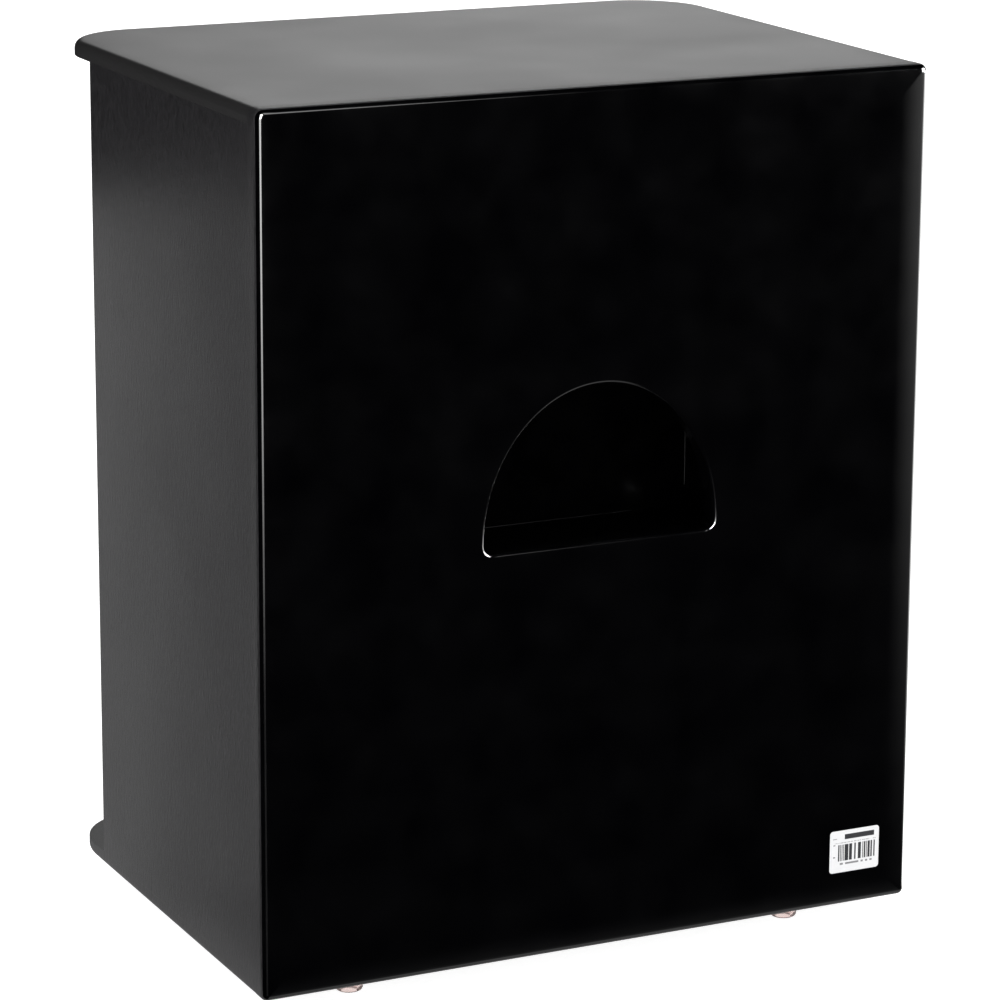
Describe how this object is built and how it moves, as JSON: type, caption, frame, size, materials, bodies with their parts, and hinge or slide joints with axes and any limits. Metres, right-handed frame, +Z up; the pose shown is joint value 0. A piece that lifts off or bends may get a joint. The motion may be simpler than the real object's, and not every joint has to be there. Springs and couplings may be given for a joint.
{
  "type": "cajon",
  "caption": "Closed-back box drum with a half-round grip niche in its back, a round-cornered seat and forward-facing side ports.",
  "frame": {"origin": "on the ground at the middle of the box's footprint", "axes": "+Z up, -Y the playing face, +Y the back panel with the grip, +X the player's left side"},
  "size_m": [0.414, 0.3151, 0.513],
  "materials": {
    "satin_shell": "satin black coating with a fine grain over fibreboard",
    "gloss_back": "high-gloss black lacquer over fibreboard",
    "niche_black": "black painted fibreboard, semi-gloss",
    "playing_face": "thin black stained plywood, matt lacquer",
    "black_board": "black painted fibreboard, matt",
    "bare_batten": "bare planed softwood",
    "black_screw": "black zinc plated steel",
    "bright_steel": "bright steel",
    "clear_rubber": "cloudy, slightly pink silicone rubber",
    "label_paper": null
  },
  "bodies": {
    "root": {"seat_plate": "satin_shell", "base_plate": "satin_shell", "left_side_panel": "satin_shell", "right_side_panel": "satin_shell", "back_panel": "gloss_back", "niche_floor": "niche_black", "niche_roof": "niche_black", "niche_left_wall": "niche_black", "niche_right_wall": "niche_black", "niche_inner_wall": "niche_black", "playing_plate": "playing_face", "playing_plate_screws": "black_screw", "left_front_stile": "black_board", "right_front_stile": "black_board", "upper_front_rail": "bare_batten", "lower_front_rail": "bare_batten", "left_port_baffle": "black_board", "right_port_baffle": "black_board", "left_rear_cleat": "bare_batten", "right_rear_cleat": "bare_batten", "snare_bar": "bare_batten", "snare_screws": "bright_steel", "left_snare_clip": "bright_steel", "right_snare_clip": "bright_steel", "left_snare_coils": "bright_steel", "right_snare_coils": "bright_steel", "front_left_foot": "clear_rubber", "front_right_foot": "clear_rubber", "rear_left_foot": "clear_rubber", "rear_right_foot": "clear_rubber", "foot_screws": "bright_steel", "paper_label": "label_paper"}
  },
  "joints": []
}
